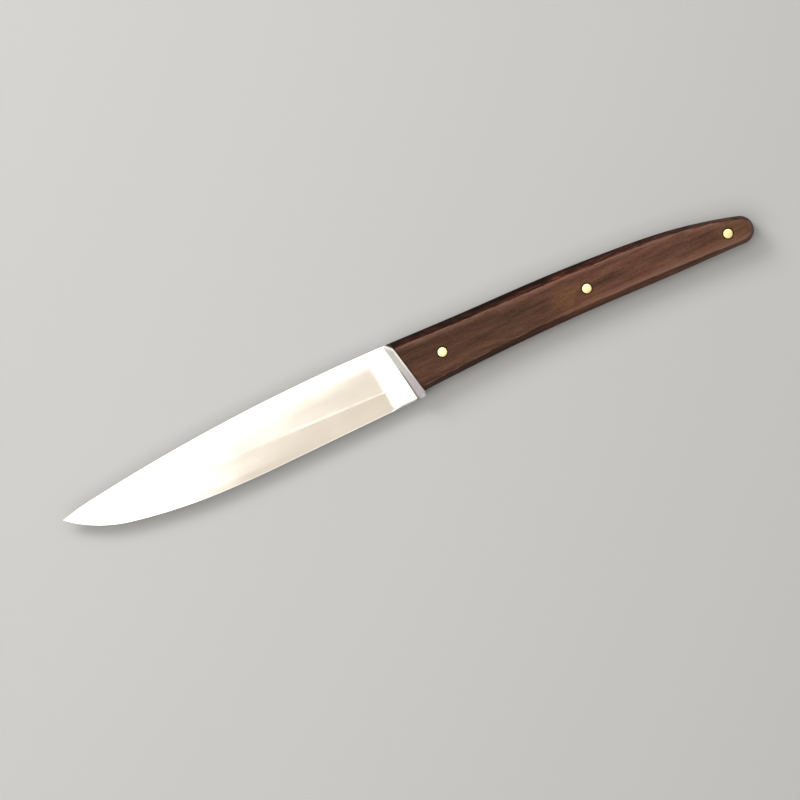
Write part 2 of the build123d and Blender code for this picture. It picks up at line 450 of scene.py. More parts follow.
# Node helpers

def new_material(name):
    """An empty procedural material: its node tree and its shader."""
    material = bpy.data.materials.new(name)
    material.use_nodes = True
    tree = material.node_tree
    return material, tree, tree.nodes["Principled BSDF"]


def add_node(tree, kind, **settings):
    node = tree.nodes.new(kind)
    for name, value in settings.items():
        setattr(node, name, value)
    return node


def feed(tree, socket, value):
    """Gives a socket its value, or the output that drives it."""
    if isinstance(value, bpy.types.NodeSocket):
        tree.links.new(value, socket)
    else:
        socket.default_value = value


def place(tree, stretch=(1, 1, 1), turn=0.0, centre=(0, 0, 0)):
    """Object coordinates, turned about a centre and stretched."""
    coords = add_node(tree, "ShaderNodeTexCoord")
    mapping = add_node(tree, "ShaderNodeMapping", vector_type="TEXTURE")
    feed(tree, mapping.inputs["Vector"], coords.outputs["Object"])
    feed(tree, mapping.inputs["Location"], centre)
    feed(tree, mapping.inputs["Rotation"], (0, 0, turn))
    feed(tree, mapping.inputs["Scale"], stretch)
    return mapping.outputs["Vector"]


def noise(tree, size_mm, detail=3.0, roughness=0.5, distortion=0.0, turn=0.0, centre_mm=(0, 0, 0)):
    """A noise with grains of some size in mm, turned about a centre."""
    stretch = [size * MM for size in size_mm]
    centre = [step * MM for step in centre_mm]
    node = add_node(tree, "ShaderNodeTexNoise")
    feed(tree, node.inputs["Vector"], place(tree, stretch, turn, centre))
    feed(tree, node.inputs["Scale"], 1.0)
    feed(tree, node.inputs["Detail"], detail)
    feed(tree, node.inputs["Roughness"], roughness)
    feed(tree, node.inputs["Distortion"], distortion)
    return node.outputs["Fac"]


def make_noises(tree, table):
    """All the noises of a table, by name."""
    return {name: noise(tree, **settings) for name, settings in table.items()}


def ramp(tree, factor, stops):
    """A colour ramp: stops are (position, colour)."""
    node = add_node(tree, "ShaderNodeValToRGB")
    colours = node.color_ramp
    colours.interpolation = "LINEAR"
    while len(colours.elements) < len(stops):
        colours.elements.new(0.5)
    for element, (position, colour) in zip(colours.elements, stops):
        element.position = position
        element.color = colour
    feed(tree, node.inputs["Fac"], factor)
    return node.outputs["Color"]


def two_tone(tree, factor, positions, first, second):
    """A ramp from one colour to another between two positions."""
    return ramp(tree, factor, ((positions[0], first), (positions[1], second)))


def maths(tree, operation, first, second=0.0, third=0.0):
    node = add_node(tree, "ShaderNodeMath", operation=operation)
    for socket, value in zip(node.inputs, (first, second, third)):
        feed(tree, socket, value)
    return node.outputs["Value"]


def product(tree, first, *others):
    """Masks multiplied, so that all of them have to be full."""
    result = first
    for other in others:
        result = maths(tree, "MULTIPLY", result, other)
    return result


def spread(tree, value, low, high, to_low=0.0, to_high=1.0, smooth=True):
    """A value from one range brought to another, and held at its ends."""
    kind = "SMOOTHSTEP" if smooth else "LINEAR"
    node = add_node(tree, "ShaderNodeMapRange", interpolation_type=kind)
    names = ("Value", "From Min", "From Max", "To Min", "To Max")
    for name, number in zip(names, (value, low, high, to_low, to_high)):
        feed(tree, node.inputs[name], number)
    return node.outputs["Result"]


def blend(tree, factor, first, second, kind="MIX"):
    """Two colours mixed or multiplied by a factor."""
    node = add_node(tree, "ShaderNodeMix", data_type="RGBA", blend_type=kind)
    feed(tree, node.inputs[0], factor)
    feed(tree, node.inputs[6], first)
    feed(tree, node.inputs[7], second)
    return node.outputs[2]


def shade(tree, factor, colour, shade_colour):
    """A colour multiplied by another, by a factor."""
    return blend(tree, factor, colour, shade_colour, "MULTIPLY")


def mixed(tree, factor, first, second):
    """Two numbers mixed by a factor."""
    node = add_node(tree, "ShaderNodeMix", data_type="FLOAT")
    feed(tree, node.inputs[0], factor)
    feed(tree, node.inputs[2], first)
    feed(tree, node.inputs[3], second)
    return node.outputs[0]


def bump(tree, height, distance, normal=None):
    node = add_node(tree, "ShaderNodeBump")
    feed(tree, node.inputs["Height"], height)
    feed(tree, node.inputs["Distance"], distance)
    feed(tree, node.inputs["Strength"], 1.0)
    if normal is not None:
        feed(tree, node.inputs["Normal"], normal)
    return node.outputs["Normal"]


def split_vector(tree, vector):
    split = add_node(tree, "ShaderNodeSeparateXYZ")
    feed(tree, split.inputs[0], vector)
    return split.outputs["X"], split.outputs["Y"], split.outputs["Z"]


def surface_normal(tree):
    """The surface's own direction in the knife's frame, as three outputs."""
    coords = add_node(tree, "ShaderNodeTexCoord")
    return split_vector(tree, coords.outputs["Normal"])


def spot(tree):
    """Where a point lies in the knife's frame, in mm, as three outputs."""
    return split_vector(tree, place(tree, (MM, MM, MM)))


def joint_place(tree, along, across):
    """Where a line that leans with the shoulder through a point crosses the X axis, in mm."""
    return maths(tree, "MULTIPLY_ADD", across, math.tan(SHOULDER_LEAN), along)


def line_height(tree, along, line):
    """The height, in mm, of a line along the handle."""
    reach = 2 * CREST_Y_MM
    stops = []
    for x, y in line:
        level = (y + CREST_Y_MM) / reach
        stops.append((x / HANDLE_END_MM, (level, level, level, 1)))
    share = spread(tree, along, 0.0, HANDLE_END_MM, smooth=False)
    return maths(tree, "MULTIPLY_ADD", ramp(tree, share, stops), reach, -CREST_Y_MM)


def near_place(tree, along, middle, reach):
    """Full at a place, and fading to nothing at some reach from it."""
    away = maths(tree, "ABSOLUTE", maths(tree, "SUBTRACT", along, middle))
    return spread(tree, away, reach, PLACE_CORE * reach)


# Steel

def steel_zones(tree):
    """Where each finish of the steel lies, with the spine facet's painted shade and the edges' wear
    and painted highlight, from 0 to 1, and where a point lies in mm.
    """
    normal_x, normal_y, normal_z = surface_normal(tree)
    along, across, up = spot(tree)
    forward = maths(tree, "MULTIPLY", normal_x, -1.0)
    joint = joint_place(tree, along, across)
    shoulder = spread(tree, along, *SHOULDER_START_MM)
    tang = spread(tree, joint, *TANG_START_MM)
    facet = product(
        tree,
        spread(tree, normal_y, *FACET_RISE),
        spread(tree, normal_y, *FACET_TOP),
        shoulder,
        spread(tree, tang, 1.0, 0.0, smooth=False),
    )
    # Worn edges of the shoulder, rough and painted near white: wear and a painted highlight.
    wear_and_highlight = product(
        tree,
        spread(tree, maths(tree, "ABSOLUTE", normal_z), *WEAR_AND_HIGHLIGHT_TURN),
        spread(tree, forward, *WEAR_AND_HIGHLIGHT_OFF_BAND),
        spread(tree, normal_y, *WEAR_AND_HIGHLIGHT_OFF_FACET),
        shoulder,
        spread(tree, across, *WEAR_AND_HIGHLIGHT_HEIGHT),
    )
    return {
        "along": along,
        "across": across,
        "depth": maths(tree, "SUBTRACT", up, MIDDLE_Z_MM),
        "band": spread(tree, forward, *BAND_LEAN),
        "rim": maths(tree, "SUBTRACT", spread(tree, joint, *RIM_START_MM), tang),
        "tang": tang,
        "facet": facet,
        "wear_and_highlight": wear_and_highlight,
    }


def band_colour(tree, zones, noises):
    """The shoulder's band: scuffed, cooler at its top, and with a painted shadow in the crease
    where it meets the blade.
    """
    tone = blend(tree, spread(tree, zones["across"], *BAND_COOL_MM), BAND_TOP, BAND_LOW)
    scuffs = two_tone(tree, noises["brushing"], SCUFF_NOISE, SCUFF_SHADE, WHITE)
    tone = shade(tree, SCUFF_SHARE, tone, scuffs)
    blade_half = spread(tree, zones["across"], *BLADE_HALF_MM, smooth=False)
    above_blade = maths(tree, "SUBTRACT", maths(tree, "ABSOLUTE", zones["depth"]), blade_half)
    # The crease where the band meets the blade is painted dark: painted shadow.
    crease_shadow = product(
        tree,
        zones["band"],
        spread(tree, above_blade, *CREASE_WIDTH_MM),
        spread(tree, zones["across"], *CREASE_HEIGHT),
    )
    return blend(tree, crease_shadow, tone, BAND_CREASE_PAINTED_SHADOW)


def steel_colour(tree, zones, noises):
    polish = two_tone(tree, noises["clouds"], NOISE_MIDDLE, POLISH_DARK, POLISH_LIGHT)
    # The rim's colour is darker towards the edge side.
    rim = blend(tree, spread(tree, zones["across"], *RIM_TONE_MM), RIM_LOW, RIM_TOP)
    facet_painted_shade = two_tone(tree, noises["blotches"], FACET_PAINTED_SHADE_NOISE, FACET_PAINTED_SHADE_DARK, FACET_PAINTED_SHADE_LIGHT)
    colour = blend(tree, zones["rim"], polish, rim)
    colour = blend(tree, zones["band"], colour, band_colour(tree, zones, noises))
    # The spine facet is painted dark: painted shade in place of the dark reflection it would show.
    colour = blend(tree, zones["facet"], colour, facet_painted_shade)
    # Worn edges are painted near white: a painted highlight on top of their wear.
    return blend(tree, zones["wear_and_highlight"], colour, WORN_STEEL_HIGHLIGHT)


def steel_roughness(tree, zones, noises):
    polished = spread(tree, noises["clouds"], *NOISE_MIDDLE, *POLISH_ROUGHNESS)
    brushed = spread(tree, noises["brushing"], *NOISE_MIDDLE, *BRUSHED_ROUGHNESS)
    filed = spread(tree, noises["filing"], *NOISE_MIDDLE, *FILED_ROUGHNESS)
    band_or_facet = maths(tree, "MAXIMUM", zones["band"], zones["facet"])
    rough = mixed(tree, maths(tree, "MAXIMUM", band_or_facet, zones["rim"]), polished, brushed)
    rough = mixed(tree, zones["tang"], rough, filed)
    return mixed(tree, zones["wear_and_highlight"], rough, WORN_ROUGHNESS)


def steel_relief(tree, zones, noises):
    """The grinding line, fine lines across the blade, and the marks on the band and tang."""
    line = product(
        tree,
        spread(tree, zones["across"], *LINE_TOP_MM),
        spread(tree, zones["across"], *LINE_LOW_MM),
        spread(tree, zones["along"], *LINE_FRONT_MM),
        spread(tree, zones["along"], *LINE_BACK_MM),
        spread(tree, noises["waver"], *NOISE_MIDDLE, *LINE_WAVER),
    )
    normal = bump(tree, line, LINE_DEPTH)
    normal = bump(tree, noises["fine_lines"], FINE_LINE_DEPTH, normal)
    normal = bump(tree, noises["wide_lines"], WIDE_LINE_DEPTH, normal)
    normal = bump(tree, product(tree, noises["brushing"], zones["band"]), BRUSHING_DEPTH, normal)
    return bump(tree, product(tree, noises["filing"], zones["tang"]), FILING_DEPTH, normal)


def steel_material():
    """Polished blade, brushed band, spine facet in painted shade, dull rim, worn edges with a
    painted highlight, and a filed tang.
    """
    material, tree, shader = new_material("polished_steel")
    zones = steel_zones(tree)
    noises = make_noises(tree, STEEL_NOISES)
    feed(tree, shader.inputs["Base Color"], steel_colour(tree, zones, noises))
    # Less metal on the spine facet dims its reflection, along with its painted shade.
    feed(tree, shader.inputs["Metallic"], spread(tree, zones["facet"], 0.0, 1.0, 1.0, FACET_METAL))
    feed(tree, shader.inputs["Roughness"], steel_roughness(tree, zones, noises))
    feed(tree, shader.inputs["Normal"], steel_relief(tree, zones, noises))
    return material


# Wood

def wood_zones(tree):
    """Where a point of the wood lies, in mm, and which way its surface faces."""
    normal_x, normal_y, normal_z = surface_normal(tree)
    along, across, up = spot(tree)
    return {
        "along": along,
        "across": across,
        "below_spine": maths(tree, "SUBTRACT", line_height(tree, along, SPINE_ARRIS_MM), across),
        "above_edge": maths(tree, "SUBTRACT", across, line_height(tree, along, EDGE_ARRIS_MM)),
        "to_butt": normal_x,
        "rise": normal_y,
        "lean": maths(tree, "ABSOLUTE", normal_z),
    }


def face_colour(tree, zones, noises):
    """The wood's face: dark figure, golden and reddish patches, grain, pores and specks."""
    patches = [near_place(tree, zones["along"], *patch) for patch in GOLDEN_PLACES_MM]
    warm = maths(tree, "MAXIMUM", *patches)
    warm = product(tree, warm, near_place(tree, zones["across"], *GOLDEN_HEIGHT_MM))
    warm = maths(tree, "MULTIPLY_ADD", warm, GOLDEN_LIFT, noises["patches"])
    golden = ramp(tree, warm, GOLDEN_RAMP)
    colour = ramp(tree, noises["figure"], FIGURE_RAMP)
    colour = blend(tree, product(tree, golden, GOLDEN_SHARE), colour, WOOD_GOLDEN)
    colour = blend(tree, spread(tree, noises["patches"], *REDDISH_NOISE), colour, WOOD_REDDISH)
    streaks = two_tone(tree, noises["grain"], STREAK_NOISE, STREAK_SHADE, WHITE)
    colour = shade(tree, STREAK_SHARE, colour, streaks)
    pores = two_tone(tree, noises["pores"], PORE_NOISE, PORE_SHADE, WHITE)
    colour = shade(tree, PORE_SHARE, colour, pores)
    sanded = two_tone(tree, noises["mottle"], SANDED_NOISE, SANDED_DARK_SHADE, SANDED_LIGHT_SHADE)
    colour = shade(tree, 1.0, colour, sanded)
    colour = blend(tree, spread(tree, noises["specks"], *SPECK_NOISE), colour, WOOD_SPECK)
    share = spread(tree, zones["along"], 0.0, HANDLE_END_MM, smooth=False)
    return shade(tree, 1.0, colour, ramp(tree, share, LENGTH_RAMP))


def paint_facet_shade(tree, colour, zones, noises):
    """Painted shade, streaked, on the facets at the spine and edge sides, darkest at their outer
    rims, and painted light on the butt's end.
    """
    wander = maths(tree, "MULTIPLY_ADD", noises["wear_and_highlight"], FACET_WANDER, -FACET_WANDER / 2)
    streaks = ramp(tree, noises["flecks"], FACET_FLECKS_AND_SHADE_RAMP)
    # The spine facet is painted dark, darkest at its outer rim: painted shade.
    spine_facet_shade = spread(tree, maths(tree, "ADD", zones["rise"], wander), *WOOD_FACET_RISE)
    outer_shade = spread(tree, zones["below_spine"], *SPINE_FACET_OUT_MM)
    outer_shade = blend(tree, outer_shade, WHITE, OUTER_SPINE_PAINTED_SHADE)
    colour = shade(tree, spine_facet_shade, colour, shade(tree, 1.0, streaks, outer_shade))
    # The edge facet is painted darker towards the front and outwards: painted shade.
    edge_facet_shade = product(
        tree,
        spread(tree, maths(tree, "SUBTRACT", wander, zones["rise"]), *WOOD_FACET_RISE),
        spread(tree, zones["along"], *EDGE_FACET_FADE),
    )
    outer_shade = spread(tree, zones["above_edge"], *EDGE_FACET_OUT_MM)
    outer_shade = blend(tree, outer_shade, INNER_EDGE_PAINTED_SHADE, OUTER_EDGE_PAINTED_SHADE)
    colour = shade(tree, edge_facet_shade, colour, blend(tree, EDGE_FACET_STREAKS, outer_shade, streaks))
    # The butt's end, which faces away from the lamps, is painted lighter: painted light.
    return shade(tree, spread(tree, zones["to_butt"], *BUTT_LEAN), colour, BUTT_PAINTED_LIGHT)


def add_wear_and_highlights(tree, colour, zones, noises):
    """Worn strips with a painted highlight along the face's two arrises, a darker strip at the
    front of the edge side, and pale arrises that are wear and a painted highlight.
    """
    flat = spread(tree, zones["lean"], *FLAT_LEAN)
    # Lighter strips along both arrises of the face: wear and a painted highlight.
    worn_top_highlight = product(
        tree,
        spread(tree, zones["below_spine"], *WORN_TOP_HIGHLIGHT_MM),
        spread(tree, noises["wear_and_highlight"], *WORN_TOP_HIGHLIGHT_NOISE),
    )
    worn_low_highlight = product(
        tree,
        spread(tree, zones["above_edge"], *WORN_LOW_HIGHLIGHT_MM),
        spread(tree, zones["along"], *WORN_LOW_HIGHLIGHT_FADE),
    )
    worn_highlight = product(tree, flat, maths(tree, "MAXIMUM", worn_top_highlight, worn_low_highlight))
    colour = blend(tree, worn_highlight, colour, WOOD_WORN_HIGHLIGHT)
    # The face is darker along its edge side at the front.
    darker_front = product(
        tree,
        spread(tree, zones["above_edge"], *DARKER_FRONT_MM),
        spread(tree, zones["along"], *DARKER_FRONT_FADE),
        flat,
        spread(tree, noises["flecks"], *DARKER_FRONT_NOISE),
    )
    colour = blend(tree, darker_front, colour, WOOD_DARKER_FRONT)
    # Pale arrises: wear and a painted highlight.
    arris_highlight = product(
        tree,
        spread(tree, zones["lean"], *ARRIS_LOW),
        spread(tree, zones["lean"], *ARRIS_HIGH),
        spread(tree, noises["wear_and_highlight"], *ARRIS_NOISE),
    )
    return blend(tree, arris_highlight, colour, WOOD_ARRIS_HIGHLIGHT)


def pin_rings(tree):
    """A soft ring in the wood round each pin."""
    rings = 0.0
    for node in PIN_NODES:
        low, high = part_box(node)
        centre = (low + high) / 2
        radius_mm = (high.x - low.x) / 2 / MM
        reach = add_node(tree, "ShaderNodeVectorMath", operation="LENGTH")
        flat_place = place(tree, (MM, MM, FLATTENED), centre=(centre.x, centre.y, 0))
        feed(tree, reach.inputs[0], flat_place)
        outer_mm = radius_mm + PIN_DIRT_WIDTH_MM
        inner_mm = radius_mm + PIN_DIRT_START_MM
        ring = spread(tree, reach.outputs["Value"], outer_mm, inner_mm, 0.0, PIN_DIRT_SHARE)
        rings = maths(tree, "MAXIMUM", ring, rings)
    return rings


def add_dirt(tree, colour, zones):
    """Dark dirt where the wood meets the shoulder and round the pins."""
    joint = joint_place(tree, zones["along"], zones["across"])
    colour = blend(tree, spread(tree, joint, *JOINT_DIRT_MM), colour, JOINT_DIRT)
    return blend(tree, pin_rings(tree), colour, PIN_DIRT)


def wood_material():
    """Dark oiled wood with straight grain, facets in painted shade, worn arrises with a painted
    highlight, and dirt at its joints.
    """
    material, tree, shader = new_material("dark_oiled_wood")
    zones = wood_zones(tree)
    noises = make_noises(tree, WOOD_NOISES)
    colour = face_colour(tree, zones, noises)
    colour = paint_facet_shade(tree, colour, zones, noises)
    colour = add_wear_and_highlights(tree, colour, zones, noises)
    colour = add_dirt(tree, colour, zones)
    feed(tree, shader.inputs["Base Color"], colour)
    roughness = spread(tree, noises["grain"], *NOISE_MIDDLE, *WOOD_ROUGHNESS)
    feed(tree, shader.inputs["Roughness"], roughness)
    shader.inputs["Specular IOR Level"].default_value = WOOD_SPECULAR
    normal = bump(tree, noises["grain"], GRAIN_DEPTH)
    feed(tree, shader.inputs["Normal"], bump(tree, noises["pores"], PORE_DEPTH, normal))
    return material


# Brass, glue and floor

def brass_material():
    """Pale polished brass with fine filing marks, darker at the pins' rims."""
    material, tree, shader = new_material("polished_brass")
    noises = make_noises(tree, BRASS_NOISES)
    along = spot(tree)[0]
    normal_z = surface_normal(tree)[2]
    tone = two_tone(tree, noises["marks"], NOISE_MIDDLE, BRASS_DARK, BRASS_LIGHT)
    tone = blend(tree, spread(tree, along, *BRASS_REAR_TONE), tone, BRASS_REAR)
    clouds = two_tone(tree, noises["clouds"], BRASS_CLOUD_NOISE, BRASS_CLOUD_SHADE, WHITE)
    tone = shade(tree, BRASS_CLOUD_SHARE, tone, clouds)
    rim = spread(tree, maths(tree, "ABSOLUTE", normal_z), *BRASS_RIM_LEAN)
    feed(tree, shader.inputs["Base Color"], blend(tree, rim, tone, BRASS_RIM))
    shader.inputs["Metallic"].default_value = 1.0
    roughness = spread(tree, noises["marks"], *NOISE_MIDDLE, *BRASS_ROUGHNESS)
    feed(tree, shader.inputs["Roughness"], roughness)
    feed(tree, shader.inputs["Normal"], bump(tree, noises["marks"], BRASS_MARK_DEPTH))
    return material


def glue_material():
    """The dark glue line between the wood and the tang."""
    material, tree, shader = new_material("dark_glue")
    specks = make_noises(tree, GLUE_NOISES)["specks"]
    colour = two_tone(tree, specks, GLUE_SPECK_NOISE, GLUE_DARK, GLUE_LIGHT)
    feed(tree, shader.inputs["Base Color"], colour)
    feed(tree, shader.inputs["Roughness"], spread(tree, specks, *NOISE_MIDDLE, *GLUE_ROUGHNESS))
    feed(tree, shader.inputs["Normal"], bump(tree, specks, GLUE_DEPTH))
    return material


def floor_material():
    material, tree, shader = new_material("pale_floor")
    shader.inputs["Base Color"].default_value = FLOOR_COLOUR
    shader.inputs["Roughness"].default_value = FLOOR_ROUGHNESS
    shader.inputs["Specular IOR Level"].default_value = FLOOR_SPECULAR
    return material


# Modelling helpers

def make_active(piece):
    bpy.ops.object.select_all(action="DESELECT")
    piece.select_set(True)
    bpy.context.view_layer.objects.active = piece


def dress(piece, material):
    piece.data.materials.clear()
    piece.data.materials.append(material)


def smooth(piece, angle=SMOOTH_ANGLE):
    make_active(piece)
    bpy.ops.object.shade_smooth_by_angle(angle=angle)


def copy_of(node, name):
    """A new piece that starts as a merged copy of a CAD node's mesh."""
    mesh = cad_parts[node].data.copy()
    mesh.name = name
    piece = bpy.data.objects.new(name, mesh)
    bpy.context.scene.collection.objects.link(piece)
    make_active(piece)
    bpy.ops.mesh.customdata_custom_splitnormals_clear()
    bpy.ops.object.mode_set(mode="EDIT")
    bpy.ops.mesh.select_all(action="SELECT")
    bpy.ops.mesh.remove_doubles(threshold=MERGE_GAP)
    bpy.ops.object.mode_set(mode="OBJECT")
    return piece


def stand_for(piece, node):
    """Lets a piece ride on the knife and replace a node, which it hides."""
    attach(piece, "root")
    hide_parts(node)


# The blade's shape

def tangent_arc(start, heading, end):
    """Points of the arc that leaves start along heading and reaches end, and its last heading."""
    chord = end - start
    side = Vector((-heading.y, heading.x))
    turn = 2 * math.atan2(chord.dot(side), chord.dot(heading))
    radius = chord.length / (2 * math.sin(turn / 2))
    points = []
    for step in range(1, ARC_STEPS + 1):
        angle = turn * step / ARC_STEPS
        points.append(start + (heading * math.sin(angle) + side * (1 - math.cos(angle))) * radius)
    return points, heading * math.cos(turn) + side * math.sin(turn)


def arc_line(first_points, ends):
    """A straight start and a chain of tangent arcs."""
    line = [Vector(point) for point in first_points]
    heading = (line[-1] - line[-2]).normalized()
    for end in ends:
        points, heading = tangent_arc(line[-1], heading, Vector(end))
        line += points
    return line


def height_on(line, station):
    """Where a cross-cut that leans with the shoulder meets an outline: its height."""
    lean = math.tan(SHOULDER_LEAN)
    for first, second in zip(line, line[1:]):
        near = first.x + lean * first.y
        far = second.x + lean * second.y
        if far <= station <= near:
            return first.y + (near - station) / (near - far) * (second.y - first.y)
    return line[-1].y


def ease(value):
    """A share held between 0 and 1, with soft ends."""
    value = min(1.0, max(0.0, value))
    return value * value * (3 - 2 * value)


def blade_side(ahead, edge_y, spine_y):
    """One side of a cross-cut, above the edge: pairs of height and half thickness, in mm."""
    height = spine_y - edge_y
    bevel = min(EDGE_BEVEL_MM, EDGE_BEVEL_SHARE * height)
    low = edge_y + bevel
    low_half = EDGE_BEVEL_HALF_MM * bevel / EDGE_BEVEL_MM
    slope = WEDGE_SLOPE * (1 - THINNING_TO_TIP * ahead / BLADE_LENGTH_MM)
    swell = 1 + PLUNGE_SWELL * max(0, 1 - ahead / PLUNGE_MM) ** 2
    bulge = RIDGE_BULGE_MM * min(1, max(0, 1 - (ahead - PLUNGE_MM) / RIDGE_FADE_MM))
    ridge = RIDGE_ABOVE_EDGE_MM + (BELLY_Y_MM if ahead < BELLY_AHEAD_MM else edge_y)
    ridge = min(ridge, low + RIDGE_SHARE * (spine_y - low))
    crown_drop = CROWN_DROP_MM * min(1, height / (2 * CROWN_HEIGHT_MM))

    def half(y):
        """Half the blade's thickness at a height, in mm."""
        above_low = (y - low) / max(ridge - low, LEAST_MM)
        above_ridge = (y - ridge) / (BULGE_END_Y_MM - ridge)
        raised = bulge * min(above_low, 1 - max(0, above_ridge))
        crown = crown_drop * max(0, 1 - (spine_y - y) / CROWN_HEIGHT_MM) ** 2
        flare_run = max(0, FLARE_START_MM - ahead - FLARE_TURN * y)
        flare = FLARE_SLOPE * flare_run * ease(flare_run / FLARE_EASE_MM)
        flare *= FLARE_AT_EDGE + (1 - FLARE_AT_EDGE) * (y - edge_y) / height
        return max(0, swell * (low_half + slope * (y - low)) + raised + flare - crown)

    step = min(
        RIDGE_EASE_MM,
        RIDGE_EASE_SHARE * (spine_y - ridge),
        RIDGE_EASE_SHARE * (ridge - low),
    )
    top = spine_y - min(SPINE_EASE_MM, SPINE_EASE_SHARE * height)
    levels = [low + share * (ridge - step - low) for share in LEVELS_BELOW_RIDGE]
    levels += [ridge, ridge + step]
    levels += [ridge + step + share * (top - ridge - step) for share in LEVELS_ABOVE_RIDGE]
    side = [(y, half(y)) for y in levels]
    corner = min(spine_y - top, SPINE_CORNER_SHARE * half(top))
    for angle in SPINE_CORNER_ANGLES:
        turn = math.radians(angle)
        rise = (spine_y - top) * math.sin(turn)
        side.append((top + rise, half(top) - corner * (1 - math.cos(turn))))
    return side


def blade_stations():
    """How far ahead of the shoulder each cross-cut lies, in mm, up to the tip."""
    tip_ahead = JOINT_X_MM - TIP_MM[0] - math.tan(SHOULDER_LEAN) * TIP_MM[1]
    far_start = OVERLAP_MM + CLOSE_STEP_MM * CLOSE_STATIONS
    stations = [OVERLAP_MM + CLOSE_STEP_MM * step for step in range(CLOSE_STATIONS)]
    for step in range(FAR_STATIONS + 1):
        share = step / FAR_STATIONS
        stations.append(far_start + (tip_ahead - far_start) * (1 - (1 - share) ** TIP_CROWDING))
    return stations


def blade_rings():
    """The points round each cross-cut, from the edge over one side to the spine and back."""
    edge_line = arc_line((HEEL_END_MM, EDGE_POINTS_MM[0]), (*EDGE_POINTS_MM[1:], TIP_MM))
    spine_start = ((JOINT_X_MM, SPINE_Y_MM), (-JOINT_X_MM, SPINE_Y_MM))
    spine_line = arc_line(spine_start, (SPINE_POINT_MM, TIP_MM))
    lean = math.tan(SHOULDER_LEAN)
    rings = []
    for ahead in blade_stations():
        station = JOINT_X_MM - ahead
        edge_y = height_on(edge_line, station)
        side = blade_side(ahead, edge_y, height_on(spine_line, station))
        ring = [(edge_y, 0.0)] + side + [(y, -half) for y, half in reversed(side)] + [(edge_y, 0.0)]
        rings.append([Vector((station - lean * y, y, MIDDLE_Z_MM + half)) * MM for y, half in ring])
    return rings


def make_blade_body():
    """The blade from the tip to just inside the shoulder: a grid closed round each cross-cut."""
    rings = blade_rings()
    around = len(rings[0]) - 1
    bpy.ops.mesh.primitive_grid_add(x_subdivisions=around, y_subdivisions=len(rings) - 1, size=1)
    body = bpy.context.object
    for vertex, point in zip(body.data.vertices, (point for ring in rings for point in ring)):
        vertex.co = point
    bpy.ops.object.mode_set(mode="EDIT")
    bpy.ops.mesh.select_all(action="SELECT")
    bpy.ops.mesh.remove_doubles(threshold=MERGE_GAP)
    bpy.ops.mesh.select_all(action="DESELECT")
    bpy.ops.mesh.select_non_manifold()
    bpy.ops.mesh.edge_face_add()
    bpy.ops.mesh.select_all(action="SELECT")
    bpy.ops.mesh.normals_make_consistent(inside=False)
    bpy.ops.object.mode_set(mode="OBJECT")
    return body


# The shoulder's shape

def slice_off(point_mm, outwards):
    """In edit mode, cuts away all that lies beyond a plane, and closes the cut."""
    bpy.ops.mesh.select_all(action="SELECT")
    bpy.ops.mesh.bisect(
        plane_co=Vector(point_mm) * MM,
        plane_no=Vector(outwards).normalized(),
        use_fill=True,
        clear_outer=True,
        threshold=CUT_GAP,
    )


def cut_heel(block, heel_y):
    """Cuts the block along the cutting edge's run and rounds the corner that this leaves."""
    heel_x = JOINT_X_MM - math.tan(SHOULDER_LEAN) * heel_y
    heel_run = (Vector(EDGE_POINTS_MM[0]) - Vector(HEEL_END_MM)).normalized()
    slice_off((heel_x, heel_y, 0), (-heel_run.y, heel_run.x, 0))

    def at_corner(middle, normals):
        return math.hypot(middle.x - heel_x, middle.y - heel_y) < NEAR_MM

    pick_edges(block, at_corner)
    heel_turn = math.pi / 2 - SHOULDER_LEAN + math.atan2(-heel_run.y, -heel_run.x)
    offset = HEEL_RADIUS_MM * MM * math.tan(heel_turn / 2)
    bpy.ops.mesh.bevel(offset=offset, segments=HEEL_STEPS, affect="EDGES")


def cut_side(up, heel_y):
    """Cuts one side of the block to its band, its spine facet and its heel facet."""
    lean_cos = math.cos(SHOULDER_LEAN)
    lean_sin = math.sin(SHOULDER_LEAN)
    side = MIDDLE_Z_MM + up * MIDDLE_Z_MM
    facet_z = side - up * FACET_DEPTH_MM
    front = (JOINT_X_MM - lean_cos * RIM_WIDTH_MM, -lean_sin * RIM_WIDTH_MM, side)
    slice_off(front, (-MIDDLE_Z_MM * lean_cos, -MIDDLE_Z_MM * lean_sin, up * BAND_RUN_MM))
    slice_off((0, SPINE_Y_MM, facet_z), (0, FACET_DEPTH_MM, up * SPINE_FACET_MM))
    slice_off((0, heel_y, facet_z), (0, -FACET_DEPTH_MM, up * HEEL_FACET_MM))


def make_shoulder_block():
    """The shoulder: a block cut to its planes, its heel and corners rounded and its edges eased."""
    heel_y = HEEL_END_MM[1] - HEEL_PROUD_MM
    bpy.ops.mesh.primitive_cube_add(size=1, location=(0, 0, MIDDLE_Z))
    block = bpy.context.object
    block.scale = Vector(BLOCK_SIZE_MM) * MM
    make_active(block)
    bpy.ops.object.transform_apply(location=True, rotation=True, scale=True)
    bpy.ops.object.mode_set(mode="EDIT")
    slice_off((JOINT_X_MM, 0, 0), (math.cos(SHOULDER_LEAN), math.sin(SHOULDER_LEAN), 0))
    cut_heel(block, heel_y)
    slice_off((0, SPINE_Y_MM, 0), (0, 1, 0))
    for up in (1, -1):
        cut_side(up, heel_y)
    pick_edges(block, lambda middle, normals: is_band_corner(normals))
    bpy.ops.mesh.bevel(offset=CORNER_OFFSET_MM * MM, segments=CORNER_STEPS, affect="EDGES")
    slice_off((0, 0, THICKNESS / MM), (0, 0, 1))
    slice_off((0, 0, 0), (0, 0, -1))
    pick_edges(block, lambda middle, normals: is_easable(normals))
    bpy.ops.mesh.bevel(
        offset=SMALL_EASE_MM * MM,
        segments=SMALL_EASE_STEPS,
        affect="EDGES",
        clamp_overlap=True,
    )
    bpy.ops.object.mode_set(mode="OBJECT")
    return block


